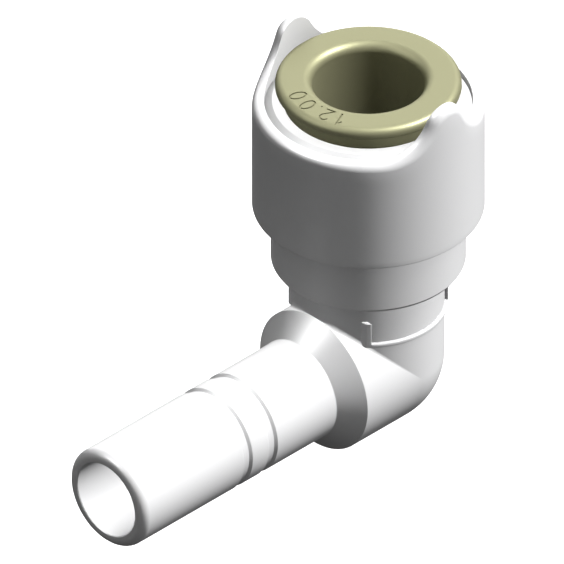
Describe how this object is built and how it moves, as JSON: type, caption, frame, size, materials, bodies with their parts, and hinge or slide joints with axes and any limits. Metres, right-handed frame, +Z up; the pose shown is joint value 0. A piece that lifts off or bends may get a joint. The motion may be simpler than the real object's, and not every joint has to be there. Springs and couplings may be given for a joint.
{
  "type": "push-fit stem elbow",
  "caption": "Right-angle plumbing elbow with a plain grooved stem at one end and a push-fit tube socket with a sliding release collet and a two-eared collar at the other.",
  "frame": {"origin": "on the stem's axis, in the plane of the shoulder where the stem leaves the elbow", "axes": "+X out along the stem towards its tip, +Z up out of the tube socket, +Y across the fitting through an ear of the collar"},
  "size_m": [0.0544, 0.026, 0.0476],
  "materials": {
    "body": "smooth white moulded plastic with a soft sheen",
    "cap": "smooth white moulded plastic with a soft sheen",
    "collar": "smooth white moulded plastic with a soft sheen",
    "collet": "pale olive moulded plastic with a soft sheen",
    "tooth": "bright sheared spring steel",
    "seal": "smooth black nitrile rubber with a film of grease",
    "spacer": "plain light grey moulded plastic"
  },
  "bodies": {
    "housing": {"body": "body", "seal": "seal", "spacer": "spacer", "cap": "cap", "collar": "collar"},
    "release_collet": {"collet": "collet", "tooth_1": "tooth", "tooth_2": "tooth", "tooth_3": "tooth", "tooth_4": "tooth", "tooth_5": "tooth", "tooth_6": "tooth", "tooth_7": "tooth", "tooth_8": "tooth"}
  },
  "joints": [
    {"name": "collet_press", "type": "slide", "parent": "housing", "child": "release_collet", "axis": [0, 0, -1], "range_m": [0, 0.0017]}
  ]
}
